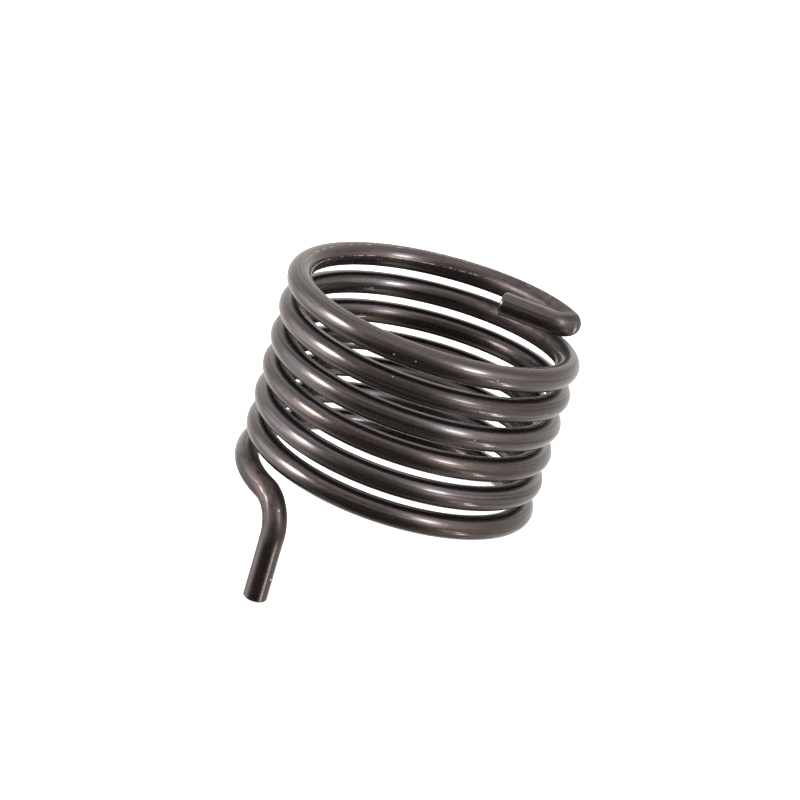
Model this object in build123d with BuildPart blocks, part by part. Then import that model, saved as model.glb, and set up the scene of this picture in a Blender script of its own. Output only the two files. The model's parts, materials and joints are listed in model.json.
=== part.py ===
from build123d import *
from math import asin, atan2, degrees, hypot
import os

# Torsion spring of round wire: an open left-hand coil with a short hook folded in
# across the bore at one end, and a short leg turned along the axis at the other.
#
# Millimetres. The origin is on the coil's axis, half way along the coil, and +Z is up.
# The spring stands as it rests by itself: hook end up, on the tip of its leg and the
# far side of its last turn, so its axis leans away from the leg, towards +X.

os.makedirs("parts", exist_ok=True)

# ---- driving dimensions ----
wire_radius = 1.6
cut_edge = 0.2           # edge taken off both cut ends
coil_radius = 18.5       # mean radius, axis to wire centre
coil_pitch = 4.15        # advance along the axis in one turn
coil_turns = 6.355       # turns at that radius

opened_radius = 20.8     # last part of the coil, sprung open towards the leg
opened_angle = 68.0

leg_bend_radius = 4.6    # mean radius
leg_straight = 8.9

hook_bend_radius = 2.3   # mean radius
hook_heading = 144.0     # which way the hook points, turned from the radius it starts on
hook_straight = 6.7

coil_roll = 97.8         # turned about its axis until its weight is over its two feet
heel_turns = 0.26        # where the coil touches the ground, in turns from its opened part

# ---- sizes that follow ----
coil_length = coil_pitch * coil_turns
leg_way = Vector(0, 0, -1)

def bend_plane(start, heading, side):
    """Plane at a point of the wire: x runs on along the wire, y is the side it bends to."""
    return Plane(origin=start, x_dir=heading, z_dir=heading.cross(side))

# ---- centreline of the wire, its axis upright: the coil runs from leg end up to hook end ----
with BuildLine():
    coil = Helix(
        pitch=coil_pitch, height=coil_length, radius=coil_radius,
        center=(0, 0, -coil_length / 2), lefthand=True,
    )

out_of_coil = -(coil % 0)
to_axis = -Vector((coil @ 0).X, (coil @ 0).Y, 0)
with BuildLine(bend_plane(coil @ 0, out_of_coil, to_axis)):
    opened = JernArc(start=(0, 0), tangent=(1, 0), radius=opened_radius, arc_size=opened_angle)

leg_bend_angle = (opened % 1).get_angle(leg_way)
with BuildLine(bend_plane(opened @ 1, opened % 1, leg_way)):
    leg_bend = JernArc(start=(0, 0), tangent=(1, 0), radius=leg_bend_radius, arc_size=leg_bend_angle)

hook_radius = Vector((coil @ 1).X, (coil @ 1).Y, 0).normalized()
hook_way = hook_radius.rotate(Axis.Z, hook_heading)
hook_bend_angle = (coil % 1).get_angle(hook_way)
with BuildLine(bend_plane(coil @ 1, coil % 1, hook_way)):
    hook_bend = JernArc(start=(0, 0), tangent=(1, 0), radius=hook_bend_radius, arc_size=hook_bend_angle)

# ---- wire round that centreline ----
with BuildPart() as upright:
    for bent in (coil, opened, leg_bend, hook_bend):
        with BuildSketch(Plane(origin=bent @ 0, z_dir=bent % 0)):
            Circle(wire_radius)
        sweep(path=bent, is_frenet=True)

    for bent, straight in ((hook_bend, hook_straight), (leg_bend, leg_straight)):
        with BuildSketch(Plane(origin=bent @ 1, z_dir=bent % 1)):
            Circle(wire_radius)
        extrude(amount=straight)

    cut_ends = upright.faces().filter_by(GeomType.PLANE)
    chamfer(cut_ends.edges(), length=cut_edge)

# ---- leaned until the leg's cut end and the far side of the last turn both touch the ground ----
leg_tip = leg_bend @ 1 + leg_way * leg_straight
heel = coil @ (heel_turns / coil_turns)
stance = (heel - leg_tip).rotate(Axis.Z, coil_roll)
span = stance.X - (wire_radius - cut_edge)
lean = degrees(atan2(stance.Z, span) - asin(wire_radius / hypot(stance.Z, span)))

with BuildPart() as spring:
    with Locations(Location((0, 0, 0), (0, lean, coil_roll))):
        add(upright.part)

spring.part.label = "spring"
export_step(spring.part, "parts/spring.step")
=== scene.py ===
"""Dresses the torsion spring: one drawn, heat-darkened wire wound into a coil, with a hook
folded in at its upper end and a leg at its lower end, standing in a plain pale studio."""
import json
import math

import bpy
import numpy as np
from mathutils import Matrix, Vector


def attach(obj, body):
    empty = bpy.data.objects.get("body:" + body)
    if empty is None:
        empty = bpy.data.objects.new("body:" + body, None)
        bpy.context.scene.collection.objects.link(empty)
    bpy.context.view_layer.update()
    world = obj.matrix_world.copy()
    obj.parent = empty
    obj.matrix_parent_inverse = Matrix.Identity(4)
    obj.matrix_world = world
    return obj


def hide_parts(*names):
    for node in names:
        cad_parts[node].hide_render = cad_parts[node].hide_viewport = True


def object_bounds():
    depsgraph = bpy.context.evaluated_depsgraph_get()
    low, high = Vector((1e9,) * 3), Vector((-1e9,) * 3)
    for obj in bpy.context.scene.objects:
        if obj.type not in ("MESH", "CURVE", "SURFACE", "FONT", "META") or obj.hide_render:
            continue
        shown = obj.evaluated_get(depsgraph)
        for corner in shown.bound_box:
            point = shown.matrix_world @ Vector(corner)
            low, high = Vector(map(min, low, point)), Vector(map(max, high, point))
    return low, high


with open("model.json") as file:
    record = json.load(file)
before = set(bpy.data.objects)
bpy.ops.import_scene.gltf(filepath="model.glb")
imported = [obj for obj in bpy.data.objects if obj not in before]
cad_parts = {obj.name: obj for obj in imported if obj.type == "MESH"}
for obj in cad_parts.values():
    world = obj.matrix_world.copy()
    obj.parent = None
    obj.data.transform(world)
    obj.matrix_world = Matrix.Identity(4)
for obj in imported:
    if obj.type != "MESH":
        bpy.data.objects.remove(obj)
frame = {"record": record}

bl_info = {
    "name": "Torsion Spring",
    "version": (1, 0, 0),
    "blender": (4, 5, 0),
    "location": "3D View > Sidebar > Spring",
    "description": "Winds a torsion spring of round wire, finishes its steel and sets its studio",
    "category": "Add Mesh",
}

CAD_BOX = [list(corner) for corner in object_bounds()]
MOUNTS = {mount["name"]: mount for mount in frame["record"]["mounts"]}
MM = 0.001
NODE = "spring"


# ---------------------------------------------------------------- what a user may set

class SpringSizes(bpy.types.PropertyGroup):
    """Sizes of the bent wire. The coil stands where the frame's bore stands."""

    wire_radius: bpy.props.FloatProperty(
        name="Wire radius", description="Half the wire's thickness", unit="LENGTH",
        default=MOUNTS["axial_leg"]["dims"]["r_mm"] * MM)
    bore_radius: bpy.props.FloatProperty(
        name="Bore radius", description="From the coil's axis to the inside of the turns",
        unit="LENGTH", default=MOUNTS["coil_bore"]["dims"]["r_mm"] * MM)
    pitch: bpy.props.FloatProperty(
        name="Pitch", description="Advance along the axis in one turn", unit="LENGTH",
        default=4.15 * MM)
    turns: bpy.props.FloatProperty(
        name="Turns", description="Turns at the full radius", default=6.355)
    roll: bpy.props.FloatProperty(
        name="Roll", description="Where the coil's leg end starts, turned about its axis",
        subtype="ANGLE", default=math.radians(97.8))
    opened_radius: bpy.props.FloatProperty(
        name="Opened radius", description="Radius of the last part of the coil, sprung open",
        unit="LENGTH", default=20.8 * MM)
    opened_angle: bpy.props.FloatProperty(
        name="Opened angle", description="How far the opened part goes round", subtype="ANGLE",
        default=math.radians(68))
    leg_bend_radius: bpy.props.FloatProperty(
        name="Leg bend", description="Radius of the bend between coil and leg", unit="LENGTH",
        default=4.6 * MM)
    leg_straight: bpy.props.FloatProperty(
        name="Leg", description="Straight length of the leg", unit="LENGTH", default=8.9 * MM)
    hook_bend_radius: bpy.props.FloatProperty(
        name="Hook bend", description="Radius of the fold at the hook end", unit="LENGTH",
        default=2.3 * MM)
    hook_heading: bpy.props.FloatProperty(
        name="Hook heading", description="Which way the hook points, from the radius it starts on",
        subtype="ANGLE", default=math.radians(144))
    hook_straight: bpy.props.FloatProperty(
        name="Hook", description="Straight length of the hook", unit="LENGTH", default=6.7 * MM)
    cut_edge: bpy.props.FloatProperty(
        name="Cut edge", description="Edge rounded off both cut ends", unit="LENGTH",
        default=0.2 * MM)


class SteelFinish(bpy.types.PropertyGroup):
    """Colours and polish of the oil-tempered steel."""

    scale_colour: bpy.props.FloatVectorProperty(
        name="Scale", description="Brown-black scale left by the tempering", subtype="COLOR", size=3,
        default=(0.074, 0.0555, 0.0515))
    worn_colour: bpy.props.FloatVectorProperty(
        name="Worn scale", description="Greyer bands where the scale is thin", subtype="COLOR", size=3,
        default=(0.093, 0.0775, 0.079))
    fleck_colour: bpy.props.FloatVectorProperty(
        name="Flecks", description="Fine copper-brown grain in the scale", subtype="COLOR", size=3,
        default=(0.125, 0.085, 0.072))
    line_colour: bpy.props.FloatVectorProperty(
        name="Drawn lines", description="Darker lines left by the drawing die", subtype="COLOR", size=3,
        default=(0.024, 0.017, 0.015))
    bright_colour: bpy.props.FloatVectorProperty(
        name="Bright lines", description="Thin lines rubbed bright by the die", subtype="COLOR", size=3,
        default=(0.230, 0.200, 0.195))
    # Colour of the rub marks on the bends, and also of the painted sheen there, a painted highlight.
    rub_and_sheen_colour: bpy.props.FloatVectorProperty(
        name="Rub marks", description="Copper-brown shine where the bends were rubbed",
        subtype="COLOR", size=3, default=(0.300, 0.210, 0.170))
    rust_colour: bpy.props.FloatVectorProperty(
        name="Rust", description="Freckles of rust", subtype="COLOR", size=3,
        default=(0.300, 0.095, 0.045))
    scuff_colour: bpy.props.FloatVectorProperty(
        name="Scuffs", description="Tan of the places where the winding tool rubbed", subtype="COLOR",
        size=3, default=(0.420, 0.330, 0.225))
    dust_colour: bpy.props.FloatVectorProperty(
        name="Dust", description="Pale specks of dust", subtype="COLOR", size=3,
        default=(0.500, 0.470, 0.420))
    metallic: bpy.props.FloatProperty(
        name="Bare metal", description="Share of metal to dull scale", default=0.93, min=0, max=1)
    smooth_roughness: bpy.props.FloatProperty(
        name="Smooth", description="Roughness of the smoothest bands", default=0.19, min=0, max=1)
    dull_roughness: bpy.props.FloatProperty(
        name="Dull", description="Roughness of the dullest bands", default=0.34, min=0, max=1)
    oil_weight: bpy.props.FloatProperty(
        name="Oil", description="Strength of the thin film of oil", default=0.55, min=0, max=1)
    oil_roughness: bpy.props.FloatProperty(
        name="Oil roughness", description="How blurred the film's reflections are", default=0.07,
        min=0, max=1)
    relief: bpy.props.FloatProperty(
        name="Relief", description="Depth of drawn lines, pits and dust", default=0.35, min=0, max=1)


class StudioSetting(bpy.types.PropertyGroup):
    """Camera, floor and soft light."""

    camera_azimuth: bpy.props.FloatProperty(
        name="Camera azimuth", description="Round the object, from -Y towards +X",
        subtype="ANGLE", default=math.radians(-45.234))
    camera_elevation: bpy.props.FloatProperty(
        name="Camera elevation", description="Above the horizon", subtype="ANGLE",
        default=math.radians(33.524))
    camera_roll: bpy.props.FloatProperty(
        name="Camera roll", description="Turned about its own line of sight", subtype="ANGLE",
        default=math.radians(2.339))
    camera_distance: bpy.props.FloatProperty(
        name="Camera distance", description="To the point it looks at", unit="LENGTH",
        default=298.03 * MM)
    camera_lens: bpy.props.FloatProperty(
        name="Lens", description="Focal length in mm on a 36 mm sensor", default=101.539)
    looks_at: bpy.props.FloatVectorProperty(
        name="Looks at", description="Point on the line of sight nearest the coil's middle",
        subtype="XYZ", unit="LENGTH", size=3, default=(-1.671 * MM, 0.608 * MM, -1.230 * MM))
    floor_colour: bpy.props.FloatVectorProperty(
        name="Floor", description="Plain pale floor", subtype="COLOR", size=3,
        default=(0.92, 0.92, 0.92))


# ---------------------------------------------------------------- the wire's line

# How finely the wire is drawn: the turn between rings on the coil, then the rings on each of the
# other stretches
COIL_STEP = math.radians(1.6)
OPENED_RINGS = 60
BEND_RINGS = 36
LEG_RINGS = 30
HOOK_RINGS = 24
DOWN = np.array([0.0, 0.0, -1.0])


def unit(v):
    """The vector at length one."""
    return v / np.linalg.norm(v)


def arc(start, heading, side, radius, angle, count):
    """Points start + r (sin t heading + (1 - cos t) side) for t from 0 to angle, and the
    headings cos t heading + sin t side there."""
    t = np.linspace(0, angle, count)[:, None]
    points = start + radius * (np.sin(t) * heading + (1 - np.cos(t)) * side)
    return points, np.cos(t) * heading + np.sin(t) * side


def carried(outer, headings):
    """A vector square to the first heading, carried rigidly along headings that turn in one
    plane: its part along the plane's normal stays, the rest stays square to the heading."""
    first = headings[0]
    last = headings[-1]
    normal = unit(np.cross(first, last))
    along_normal = outer @ normal
    across = outer @ np.cross(normal, first)
    return along_normal * normal + across * np.cross(normal, headings)


def straight(start, heading, length, count):
    """Points start + t heading for t from 0 to length, with the same heading at each."""
    t = np.linspace(0, length, count)[:, None]
    return start + t * heading, np.repeat(heading[None], count, 0)


def bend_side(heading, towards):
    """The direction square to the heading on whose side the wire bends to point `towards`."""
    return unit(towards - heading * (heading @ towards))


def wire_line(size):
    """Line of the wire from the leg's cut end to the hook's, in the frame, as points, headings
    and outer vectors square to them. On the coil, in its own upright frame, it is
    (R cos a, -R sin a, p a / 2 pi) for a from 0 to all its turns, and outer points away from
    the axis. An opened arc, a bend and a straight leg run on from its foot, and a fold and a
    straight hook from its head."""
    coil_radius = size.bore_radius + size.wire_radius
    all_turns = size.turns * math.tau
    angle = np.linspace(0, all_turns, round(all_turns / COIL_STEP))[:, None]
    rise = size.pitch / math.tau
    zero = np.zeros_like(angle)
    radial = np.hstack([np.cos(angle), -np.sin(angle), zero])
    coil = coil_radius * radial + np.hstack([zero, zero, rise * angle - size.turns * size.pitch / 2])
    heading = np.hstack([-coil_radius * np.sin(angle), -coil_radius * np.cos(angle), zero + rise])
    heading /= np.linalg.norm(heading, axis=1)[:, None]

    parts = []
    out = -heading[0]
    p, h = arc(coil[0], out, bend_side(out, -radial[0]),
               size.opened_radius, size.opened_angle, OPENED_RINGS)
    o = carried(radial[0], h)
    parts.append((p, h, o))
    turn = math.acos(h[-1] @ DOWN)
    p, h = arc(p[-1], h[-1], bend_side(h[-1], DOWN), size.leg_bend_radius, turn, BEND_RINGS)
    o = carried(o[-1], h)
    parts.append((p, h, o))
    p, h = straight(p[-1], h[-1], size.leg_straight, LEG_RINGS)
    parts.append((p, h, np.repeat(o[-1:], len(p), 0)))
    foot = [(p[::-1], -h[::-1], o[::-1]) for p, h, o in reversed(parts)]

    c, s = math.cos(size.hook_heading), math.sin(size.hook_heading)
    way = np.array([[c, -s, 0], [s, c, 0], [0, 0, 1]]) @ radial[-1]
    turn = math.acos(heading[-1] @ way)
    p, h = arc(coil[-1], heading[-1], bend_side(heading[-1], way),
               size.hook_bend_radius, turn, BEND_RINGS)
    o = carried(radial[-1], h)
    hook = [(p, h, o)]
    p, h = straight(p[-1], h[-1], size.hook_straight, HOOK_RINGS)
    hook.append((p, h, np.repeat(o[-1:], len(p), 0)))

    line = foot + [(coil, heading, radial)] + hook
    points, headings, outers = (
        np.vstack([line[0][k]] + [part[k][1:] for part in line[1:]]) for k in range(3))
    return points, headings, outers


def standing(size, *arrays):
    """The same arrays turned from the coil's upright frame to the one it stands in: by the roll
    about its axis, then leaned until that axis is the bore's."""
    axis = MOUNTS["coil_bore"]["axis"]
    lean = math.atan2(axis[0], axis[2])
    turn = np.array(Matrix.Rotation(lean, 3, "Y") @ Matrix.Rotation(size.roll, 3, "Z"))
    return [a @ turn.T for a in arrays]


# ---------------------------------------------------------------- the wire's surface

AROUND = 48
# Rings on a cut end, as shares: of the broken edge, from the wire's side in, then of the face
EDGE_RINGS = np.array([1.0, 0.75, 0.5, 0.25])
FACE_RINGS = np.array([1.0, 0.96, 0.8, 0.55, 0.3, 0.1])


def end_profile(radius, edge):
    """Setbacks and ring radii of a sheared end, from the wire's side to its middle: the broken
    edge, where the radius is r - (edge - setback), then the face, with no setback."""
    edge_back = edge * EDGE_RINGS
    setback = np.append(edge_back, np.zeros(len(FACE_RINGS)))
    ring = np.append(radius - (edge - edge_back), (radius - edge) * FACE_RINGS)
    return setback, ring


def wound_wire(size):
    """The wire as one closed skin. Each ring is line + r (cos b outer + sin b (heading x outer))
    for b once round, and the rings draw in over the cut ends to one point each. With it go the
    place on the straight wire, (run, r cos b, r sin b), of each corner, and the wire's length."""
    points, headings, outers = standing(size, *wire_line(size))
    origin = np.array(MOUNTS["coil_bore"]["pos_m"])
    run = np.concatenate([[0], np.cumsum(np.linalg.norm(np.diff(points, axis=0), axis=1))])
    back, ring = end_profile(size.wire_radius, size.cut_edge)
    clear = 1.5 * size.cut_edge
    body = (run > clear) & (run < run[-1] - clear)

    along = np.concatenate([back[::-1], run[body], run[-1] - back])
    radii = np.concatenate([ring[::-1], np.full(body.sum(), size.wire_radius), ring])
    centre, heading, outer = (
        np.stack([np.interp(along, run, a[:, k]) for k in range(3)], 1)
        for a in (points, headings, outers))
    heading /= np.linalg.norm(heading, axis=1)[:, None]
    outer -= heading * (heading * outer).sum(1)[:, None]
    outer /= np.linalg.norm(outer, axis=1)[:, None]
    third = np.cross(heading, outer)

    b = np.arange(AROUND) * math.tau / AROUND
    reach = np.cos(b)[None, :, None] * outer[:, None] + np.sin(b)[None, :, None] * third[:, None]
    grid = origin + centre[:, None] + radii[:, None, None] * reach
    rod = np.stack([
        np.repeat(along[:, None], AROUND, 1),
        radii[:, None] * np.cos(b),
        radii[:, None] * np.sin(b)], 2)
    tips = origin + np.stack([centre[0], centre[-1]])
    tip_rod = np.array([[along[0], 0, 0], [along[-1], 0, 0]])

    rows = len(along)
    ring_start = np.arange(rows)[:, None] * AROUND
    here, onward = ring_start[:-1], ring_start[1:]
    j = np.arange(AROUND)
    beside = (j + 1) % AROUND
    quads = np.stack([here + j, here + beside, onward + beside, onward + j], 2)
    first_tip = rows * AROUND
    start_fan = np.stack([np.full(AROUND, first_tip), beside, j], 1)
    last_ring = ring_start[-1]
    end_fan = np.stack([np.full(AROUND, first_tip + 1), last_ring + j, last_ring + beside], 1)
    vertices = np.vstack([grid.reshape(-1, 3), tips])
    rods = np.vstack([rod.reshape(-1, 3), tip_rod])
    return vertices, quads.reshape(-1, 4), np.vstack([start_fan, end_fan]), rods, run[-1]


def mesh_piece(name, vertices, quads, fans):
    """A smooth mesh object at the origin from arrays of corners, quads and triangles."""
    mesh = bpy.data.meshes.new(name)
    mesh.from_pydata(vertices.tolist(), [], quads.tolist() + fans.tolist())
    mesh.shade_smooth()
    piece = bpy.data.objects.new(name, mesh)
    bpy.context.scene.collection.objects.link(piece)
    return piece


# ---------------------------------------------------------------- the steel

def add(tree, kind, inputs=None, **settings):
    """A new node with its settings and inputs filled: a socket is linked, a number is set."""
    node = tree.nodes.new(kind)
    for name, value in settings.items():
        setattr(node, name, value)
    for name, value in (inputs or {}).items():
        if isinstance(value, bpy.types.NodeSocket):
            tree.links.new(value, node.inputs[name])
        else:
            node.inputs[name].default_value = value
    return node


def noise(tree, place, pattern):
    """Noise with a pattern's waves to the metre along the wire and across it."""
    along, across, detail, rough = pattern
    waves = (along, across, across)
    spread = add(tree, "ShaderNodeVectorMath", {0: place, 1: waves}, operation="MULTIPLY")
    return add(tree, "ShaderNodeTexNoise", {
        "Vector": spread.outputs["Vector"], "Scale": 1.0, "Detail": detail, "Roughness": rough,
    }).outputs["Fac"]


def ramp(tree, value, low, high, to_low=0.0, to_high=1.0):
    """The value taken smoothly from low..high to to_low..to_high and held there beyond."""
    return add(tree, "ShaderNodeMapRange", {
        "Value": value, "From Min": low, "From Max": high, "To Min": to_low, "To Max": to_high,
    }, interpolation_type="SMOOTHSTEP").outputs["Result"]


def math_node(tree, operation, a, b):
    """The result of one of the Math node's operations on two values."""
    return add(tree, "ShaderNodeMath", {0: a, 1: b}, operation=operation).outputs["Value"]


def folded(tree, operation, values):
    """The values taken together, two at a time, by a Math operation."""
    result = values[0]
    for value in values[1:]:
        result = math_node(tree, operation, result, value)
    return result


def product(tree, *factors):
    """All the factors multiplied."""
    return folded(tree, "MULTIPLY", factors)


def highest(tree, masks):
    """The strongest of the masks at each point."""
    return folded(tree, "MAXIMUM", masks)


def blend(tree, mask, a, b):
    """Colour a where the mask is 0 and colour b where it is 1."""
    a, b = (c if isinstance(c, bpy.types.NodeSocket) else (*c, 1) for c in (a, b))
    mix = add(tree, "ShaderNodeMix", {"Factor": mask, "A": a, "B": b}, data_type="RGBA")
    return mix.outputs["Result"]


# Waves to the metre along the wire and across it, then detail and roughness of each noise
BANDS = (14, 760, 2, 0.5)
STREAKS = (18, 2600, 2, 0.6)
BRIGHT_LINES = (15, 3600, 2, 0.5)
DRAWN_RELIEF = (30, 1800, 2, 0.6)
GRAIN = (1100, 3400, 2, 0.6)
MOTTLE = (500, 900, 3, 0.6)
TOOL_WANDER = (90, 1, 2, 0.5)
TOOL_BREAKS = (1500, 300, 3, 0.7)
# Marks on the wire: mm from the leg's cut end, degrees round the wire from the side away from
# the coil's axis, then length and width in mm
MARKS = {
    "rub": ((16.3, 31, 1.6, 0.20), (14.9, 26, 2.0, 0.42), (13.6, 32, 1.6, 0.15)),
    # The painted_sheen entries are not marks on the steel. They are painted highlights: lighter
    # copper-brown bands on the leg's bend and on the hook's fold.
    "painted_sheen": ((17.6, 37, 7.5, 1.3), (784.6, 62, 3.0, 0.8)),
    "scrape": ((782.2, 4, 0.5, 2.2),),
    "rust": ((753.3, 163, 0.5, 0.3), (758.1, 164, 0.4, 0.3), (770.1, 108, 0.7, 0.35),
             (772.8, 108, 0.5, 0.3), (774.7, 111, 0.8, 0.3)),
    "dust": ((11.9, 81, 0.35, 0.3), (564.6, -2, 0.25, 0.2), (586.1, 41, 0.25, 0.2),
             (690.4, 5, 0.3, 0.2), (700.3, -3, 0.2, 0.2), (702.9, -8, 0.25, 0.2)),
    "pit": ((12.4, 72, 0.3, 0.25), (17.4, 67, 1.2, 0.6), (20.9, 71, 1.5, 0.8), (600.0, 31, 0.5, 0.3)),
}
# Scattered specks: mm apart, the share of their cells that hold one, and mm across
SPECKS = {"rust": (6.1, 0.08, 0.4), "dust": (3.2, 0.22, 0.26), "pit": (3.4, 0.30, 0.34)}
# Lines rubbed by the winding tool: where each starts and ends, the side it starts on, and its
# steps to other sides as (from mm, to mm, degrees)
TOOL_LINES = (
    (726, 771, 101, ((727, 732, 10), (750, 753, -10), (759, 768, -7))),
    (725, 766, 142, ((726, 735, 27), (756, 765, -8))),
)
# How far such a line sways in radians, its width in mm, and the mm over which its ends fade
TOOL_SWAY = 0.05
TOOL_WIDTH = 0.20
TOOL_FADE_IN = 3
TOOL_FADE_OUT = 4
# Stretches that are duller, darker mottled and less oiled: mm where each begins, is full, stays full to
# and ends. The first and last are the bends. The middle one, on the coil, is painted shade: it dulls
# and darkens the wire there to take out a reflection of the left soft box.
DULL_AND_SHADED_STRETCHES = ((7.5, 9.5, 21, 29), (642, 650, 662, 670), (757, 770, 782, 786))
# Depth in mm of the bare face at a cut end, where the oiled skin has gone and where it is whole
CUT_FACE = (0.04, 0.12)
RELIEF_DEPTH = 0.02


def spot(tree, place, radius, mark):
    """1 at a mark's middle, falling to 0 at half its length and half its width from there."""
    run, side, long, wide = mark
    side = math.radians(side)
    centre = (run * MM, radius * math.cos(side), radius * math.sin(side))
    value = place
    scale = (2 / (long * MM), 2 / (wide * MM), 2 / (wide * MM))
    for operation, other in (("SUBTRACT", centre), ("MULTIPLY", scale)):
        node = add(tree, "ShaderNodeVectorMath", {0: value, 1: other}, operation=operation)
        value = node.outputs["Vector"]
    length = add(tree, "ShaderNodeVectorMath", {0: value}, operation="LENGTH").outputs["Value"]
    return ramp(tree, length, 1.0, 0.4)


def specks(tree, place, apart, share, across):
    """1 in specks about so many mm apart and across, in that share of their cells."""
    spread = add(tree, "ShaderNodeVectorMath", {0: place, "Scale": 1 / (apart * MM)}, operation="SCALE")
    cells = add(tree, "ShaderNodeTexVoronoi", {"Vector": spread.outputs["Vector"], "Scale": 1.0})
    dice = add(tree, "ShaderNodeSeparateColor", {"Color": cells.outputs["Color"]}).outputs["Red"]
    near = ramp(tree, cells.outputs["Distance"], across / apart, 0.3 * across / apart)
    return product(tree, near, math_node(tree, "LESS_THAN", dice, share))


def stretch(tree, along, begins, full, stays, ends):
    """1 from `full` to `stays`, in mm along the wire, falling to 0 where it begins and ends."""
    after = ramp(tree, along, begins * MM, full * MM)
    before = ramp(tree, along, ends * MM, stays * MM)
    return product(tree, after, before)


def tool_line(tree, place, along, side, radius, line):
    """1 along a thin broken line that runs along the wire and steps round it."""
    start, end, line_side, steps = line
    at = math.radians(line_side)
    for step_from, step_to, turn in steps:
        step = ramp(tree, along, step_from * MM, step_to * MM, 0, math.radians(turn))
        at = math_node(tree, "ADD", at, step)
    wander = ramp(tree, noise(tree, place, TOOL_WANDER), 0, 1, -TOOL_SWAY, TOOL_SWAY)
    off = folded(tree, "SUBTRACT", (side, at, wander))
    edge = TOOL_WIDTH / 2 * MM / radius
    thin = ramp(tree, math_node(tree, "ABSOLUTE", off, 0), edge, 0.2 * edge)
    broken = ramp(tree, noise(tree, place, TOOL_BREAKS), 0.42, 0.62)
    inside = stretch(tree, along, start, start + TOOL_FADE_IN, end - TOOL_FADE_OUT, end)
    return product(tree, thin, broken, inside)


def wire_marks(tree, place, radius):
    """Masks of the placed marks, with the scattered specks of the same kinds."""
    masks = {}
    for kind, marks in MARKS.items():
        placed = [spot(tree, place, radius, mark) for mark in marks]
        scattered = [specks(tree, place, *SPECKS[kind])] if kind in SPECKS else []
        masks[kind] = highest(tree, placed + scattered)
    return masks


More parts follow.
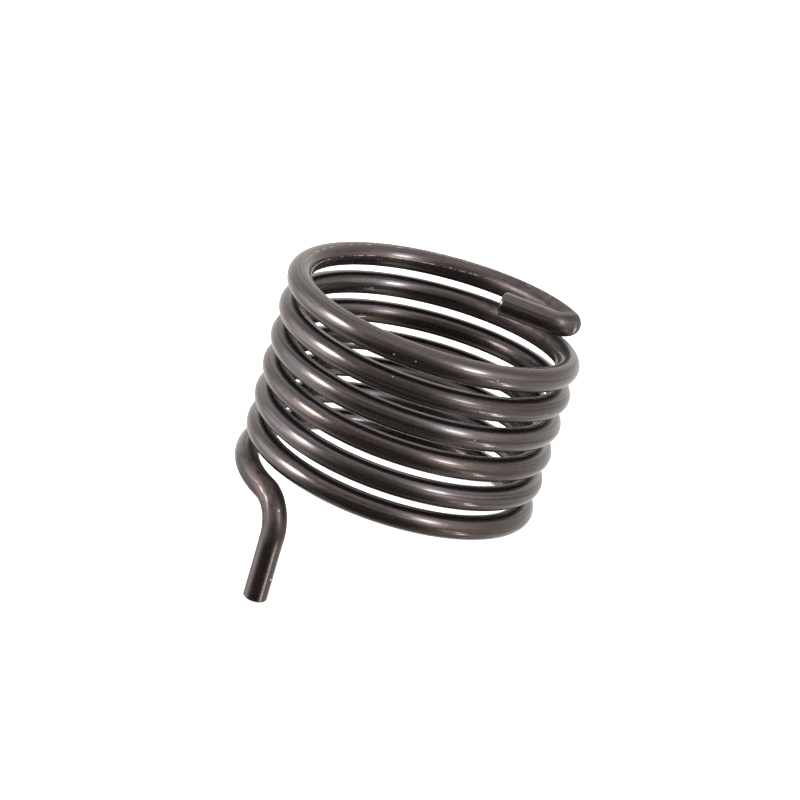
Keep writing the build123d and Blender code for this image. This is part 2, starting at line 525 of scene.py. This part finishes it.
def dark_spring_steel(finish, radius, length):
    """Drawn wire, oil tempered: metal under a thin brown-black scale worn greyer in bands, with
    copper-brown flecks and with darker and brighter lines that run along it, under a film of
    oil. Where it was bent it is duller, mottled and rubbed, and it carries a painted highlight, a
    lighter copper-brown sheen. One stretch of the coil is made duller and darker as painted
    shade. Here and there it has rust, dust, pits and the winding tool's lines."""
    material = bpy.data.materials.new("oil_tempered_steel")
    material.use_nodes = True
    tree = material.node_tree
    bsdf = tree.nodes["Principled BSDF"]
    place = add(tree, "ShaderNodeAttribute", attribute_name="straight_wire").outputs["Vector"]
    parts = add(tree, "ShaderNodeSeparateXYZ", {"Vector": place}).outputs
    along = parts["X"]
    side = math_node(tree, "ARCTAN2", parts["Z"], parts["Y"])

    bands = ramp(tree, noise(tree, place, BANDS), 0.42, 0.56)
    streaks = ramp(tree, noise(tree, place, STREAKS), 0.50, 0.60)
    bright = ramp(tree, noise(tree, place, BRIGHT_LINES), 0.60, 0.72)
    grain = noise(tree, place, GRAIN)
    mottle = noise(tree, place, MOTTLE)
    # The bends, and one stretch of painted shade on the coil.
    dull_and_shade = highest(tree, [stretch(tree, along, *places) for places in DULL_AND_SHADED_STRETCHES])
    mark = wire_marks(tree, place, radius)
    scrape = product(tree, mark["scrape"], ramp(tree, mottle, 0.35, 0.6, 0.2, 1))
    tool = [tool_line(tree, place, along, side, radius, line) for line in TOOL_LINES]
    scuff = highest(tree, [scrape, *tool])
    bare, whole = (depth * MM for depth in CUT_FACE)
    leg_face = ramp(tree, along, whole, bare)
    hook_face = ramp(tree, along, length - whole, length - bare)
    cut = highest(tree, [leg_face, hook_face])

    flecks = product(tree, ramp(tree, grain, 0.5, 0.68), ramp(tree, dull_and_shade, 0, 1, 0.55, 0.9))
    drawn = ramp(tree, dull_and_shade, 0, 1, 0.6, 0.25)
    layers = (
        (flecks, finish.fleck_colour),
        (product(tree, streaks, drawn), finish.line_colour),
        (product(tree, bright, drawn), finish.bright_colour),
        # Darker mottle in those stretches: worn bends, and painted shade on the coil's middle stretch.
        (product(tree, dull_and_shade, ramp(tree, mottle, 0.35, 0.65, 0, 0.6)), finish.line_colour),
        (product(tree, mark["pit"], 0.8), finish.line_colour),
        (product(tree, mark["rub"], ramp(tree, grain, 0.3, 0.6, 0.3, 0.9)), finish.rub_and_sheen_colour),
        # Painted highlight: the painted_sheen bands lighten the bends towards the rub colour.
        (product(tree, mark["painted_sheen"], ramp(tree, mottle, 0.3, 0.65, 0.15, 0.4)), finish.rub_and_sheen_colour),
        (product(tree, mark["rust"], 0.6), finish.rust_colour),
        (product(tree, scuff, 0.8), finish.scuff_colour),
        (product(tree, mark["dust"], 0.8), finish.dust_colour))
    colour = blend(tree, bands, finish.scale_colour, finish.worn_colour)
    for mask, layer_colour in layers:
        colour = blend(tree, mask, colour, layer_colour)
    tree.links.new(colour, bsdf.inputs["Base Color"])
    loose = highest(tree, [mark["rust"], scuff, mark["dust"]])
    tree.links.new(ramp(tree, loose, 0, 1, finish.metallic, 0), bsdf.inputs["Metallic"])

    rough_grain = ramp(tree, grain, 0.35, 0.65)
    dullness = math_node(tree, "ADD", product(tree, streaks, 0.4), product(tree, rough_grain, 0.4))
    roughness = ramp(tree, dullness, 0, 1, finish.smooth_roughness, finish.dull_roughness)
    worn = product(tree, highest(tree, [dull_and_shade, cut]), ramp(tree, mark["rub"], 0, 1, 0.28, 0.2))
    tree.links.new(math_node(tree, "ADD", roughness, worn), bsdf.inputs["Roughness"])
    oil = ramp(tree, bands, 0, 1, 0.6 * finish.oil_weight, finish.oil_weight)
    dry = highest(tree, [product(tree, dull_and_shade, 0.7), loose, mark["pit"], cut])
    tree.links.new(product(tree, oil, ramp(tree, dry, 0, 1, 1, 0.1)), bsdf.inputs["Coat Weight"])
    bsdf.inputs["Coat Roughness"].default_value = finish.oil_roughness

    raised = math_node(tree, "SUBTRACT", mark["dust"], mark["pit"])
    drawn_lines = product(tree, noise(tree, place, DRAWN_RELIEF), ramp(tree, dull_and_shade, 0, 1, 1, 0.4))
    height = math_node(tree, "ADD", drawn_lines, product(tree, raised, 0.5))
    bump = add(tree, "ShaderNodeBump", {
        "Strength": finish.relief, "Distance": RELIEF_DEPTH * MM, "Height": height})
    tree.links.new(bump.outputs["Normal"], bsdf.inputs["Normal"])
    return material


# ---------------------------------------------------------------- the studio

def compass(azimuth, elevation):
    """Unit vector to a place round the object: azimuth from -Y towards +X, elevation up."""
    a, e = math.radians(azimuth), math.radians(elevation)
    return Vector((math.sin(a) * math.cos(e), -math.cos(a) * math.cos(e), math.sin(e)))


# Places in the room: azimuth, elevation, degrees from there at which each is still full and has
# ended, then a light's strength or the share of the room's light that a shade leaves
ROOM_STRENGTH = 0.92
LIGHTS = {
    "left_box": (-127, 31.5, 6, 14.5, 16.8),
    "left_box_foot": (-129, 17, 5, 17, 2.5),
    "left_wall": (-142, 14, 8, 38, 1.35),
    "right_box": (5.5, 32.5, 4.5, 10.5, 14.5),
    "right_box_top": (16, 44, 4, 14, 2.4),
    "right_box_foot": (-2, 13, 4, 14, 1.9),
    "right_wall": (15, 30, 8, 42, 0.7),
    "ceiling": (105, 64, 15, 62, 0.32),
    "table_glint": (9, -42, 1.5, 4.5, 15.5),
    "table_glint_far": (6, -28.5, 1, 3.5, 14.0),
    "table_glint_left": (-5, -24, 1, 2.6, 10.0),
}
SHADES = {
    "dark_side": (-66, -20, 28, 60, 0.075),
    "camera_side": (-58, 34, 20, 46, 0.45),
    "dark_table": (-95, -88, 12, 36, 0.60),
}
# Where the room's light is a little blue, as from a window: azimuth, elevation and degrees again,
# then the tints there, in the rest of the room and in its shade
COOL = {
    "right_window": (28, 49, 10, 40),
    "left_window": (-163, 46, 12, 44),
}
COOL_TINT = (0.955, 1.0, 1.09)
WARM_TINT = (1.025, 1.0, 0.955)
SHADE_TINT = (1.0, 0.90, 0.66)
BACKDROP_STRENGTH = 1.05
FLOOR_RADIUS = 3.0
FLOOR_CORNERS = 96
FLOOR_GLOW = 0.75


def soft_studio():
    """World light that depends only on direction: pale all round, dark on the camera's side of
    the room, bright in two soft boxes and in the glint of one of them on the table, a little blue
    towards the windows and brown in the shade."""
    world = bpy.data.worlds.new("studio")
    bpy.context.scene.world = world
    world.use_nodes = True
    tree = world.node_tree
    tree.nodes.clear()
    direction = add(tree, "ShaderNodeTexCoord").outputs["Generated"]

    def lobe(azimuth, elevation, full, ended, outside, inside):
        """inside within `full` degrees of a direction, outside past `ended`, smooth between."""
        towards = add(tree, "ShaderNodeVectorMath", {0: direction, 1: compass(azimuth, elevation)},
                      operation="DOT_PRODUCT").outputs["Value"]
        return ramp(tree, towards, math.cos(math.radians(ended)), math.cos(math.radians(full)),
                    outside, inside)

    shades = [lobe(*place, 1, left) for *place, left in SHADES.values()]
    room = product(tree, ROOM_STRENGTH, *shades)
    cool = highest(tree, [lobe(*place, 0, 1) for place in COOL.values()])
    tint = blend(tree, cool, WARM_TINT, COOL_TINT)
    tint = blend(tree, ramp(tree, room, 0, ROOM_STRENGTH), SHADE_TINT, tint)
    lights = [lobe(*place, 0, strength) for *place, strength in LIGHTS.values()]
    lit = folded(tree, "ADD", [room, *lights])
    glow = add(tree, "ShaderNodeBackground", {"Color": tint, "Strength": lit})
    seen = add(tree, "ShaderNodeBackground", {"Strength": BACKDROP_STRENGTH})
    camera_ray = add(tree, "ShaderNodeLightPath").outputs["Is Camera Ray"]
    mix = add(tree, "ShaderNodeMixShader", {
        0: camera_ray, 1: glow.outputs["Background"], 2: seen.outputs["Background"]})
    add(tree, "ShaderNodeOutputWorld", {"Surface": mix.outputs["Shader"]})


def pale_floor(setting, height):
    """A wide plain disc, (R cos b, R sin b, height) for b once round, where the spring stands. It
    is lit from within a little, as a light table is. Polished metal doesn't see it: it sees the
    room's light from below the horizon."""
    b = np.arange(FLOOR_CORNERS) * math.tau / FLOOR_CORNERS
    x, y = FLOOR_RADIUS * np.cos(b), FLOOR_RADIUS * np.sin(b)
    rim = np.stack([x, y, np.full(FLOOR_CORNERS, height)], 1)
    mesh = bpy.data.meshes.new("floor")
    mesh.from_pydata(rim.tolist(), [], [list(range(FLOOR_CORNERS))])
    floor = bpy.data.objects.new("floor", mesh)
    bpy.context.scene.collection.objects.link(floor)
    floor.visible_glossy = False
    material = bpy.data.materials.new("light_table")
    material.use_nodes = True
    bsdf = material.node_tree.nodes["Principled BSDF"]
    bsdf.inputs["Base Color"].default_value = (*setting.floor_colour, 1)
    bsdf.inputs["Roughness"].default_value = 0.9
    bsdf.inputs["Emission Color"].default_value = (1, 1, 1, 1)
    bsdf.inputs["Emission Strength"].default_value = FLOOR_GLOW
    mesh.materials.append(material)


def camera(setting):
    """Camera on its sphere round the point it looks at, turned about its line of sight."""
    azimuth, elevation = math.degrees(setting.camera_azimuth), math.degrees(setting.camera_elevation)
    back = compass(azimuth, elevation)
    data = bpy.data.cameras.new("camera")
    data.lens = setting.camera_lens
    data.sensor_width = 36
    data.clip_start = 0.01
    holder = bpy.data.objects.new("camera", data)
    bpy.context.scene.collection.objects.link(holder)
    holder.location = Vector(setting.looks_at) + back * setting.camera_distance
    level = (-back).to_track_quat("-Z", "Y").to_matrix()
    turn = level @ Matrix.Rotation(setting.camera_roll, 3, "Z")
    holder.rotation_euler = turn.to_euler()
    bpy.context.scene.camera = holder


# ---------------------------------------------------------------- operators and panel

class SPRING_OT_wind_wire(bpy.types.Operator):
    """Winds the spring's wire and gives it its dark steel"""

    bl_idname = "spring.wind_wire"
    bl_label = "Wind Wire"

    def execute(self, context):
        size = context.scene.spring_sizes
        vertices, quads, fans, rods, length = wound_wire(size)
        wire = mesh_piece("spring_wire", vertices, quads, fans)
        attribute = wire.data.attributes.new("straight_wire", "FLOAT_VECTOR", "POINT")
        attribute.data.foreach_set("vector", rods.astype(np.float32).ravel())
        wire.data.materials.append(
            dark_spring_steel(context.scene.steel_finish, size.wire_radius, length))
        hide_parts(NODE)
        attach(wire, "root")
        return {"FINISHED"}


class SPRING_OT_set_studio(bpy.types.Operator):
    """Sets the pale floor, the soft light and the camera"""

    bl_idname = "spring.set_studio"
    bl_label = "Set Studio"

    def execute(self, context):
        setting = context.scene.studio_setting
        context.scene.view_settings.view_transform = "Standard"
        pale_floor(setting, CAD_BOX[0][2])
        soft_studio()
        camera(setting)
        return {"FINISHED"}


class SPRING_PT_panel(bpy.types.Panel):
    """Lists the spring's sizes, finish and operators"""

    bl_label = "Torsion Spring"
    bl_idname = "SPRING_PT_panel"
    bl_space_type = "VIEW_3D"
    bl_region_type = "UI"
    bl_category = "Spring"

    def draw(self, context):
        for group in GROUPS:
            box = self.layout.box()
            for name in GROUPS[group].__annotations__:
                box.prop(getattr(context.scene, group), name)
        for operator in (SPRING_OT_wind_wire, SPRING_OT_set_studio):
            self.layout.operator(operator.bl_idname)


GROUPS = {"spring_sizes": SpringSizes, "steel_finish": SteelFinish, "studio_setting": StudioSetting}
CLASSES = (*GROUPS.values(), SPRING_OT_wind_wire, SPRING_OT_set_studio, SPRING_PT_panel)


def register():
    for cls in CLASSES:
        bpy.utils.register_class(cls)
    for name, group in GROUPS.items():
        setattr(bpy.types.Scene, name, bpy.props.PointerProperty(type=group))


def unregister():
    for name in GROUPS:
        delattr(bpy.types.Scene, name)
    for cls in reversed(CLASSES):
        bpy.utils.unregister_class(cls)


def main():
    register()
    bpy.ops.spring.wind_wire()
    bpy.ops.spring.set_studio()


if __name__ == "__main__":
    main()
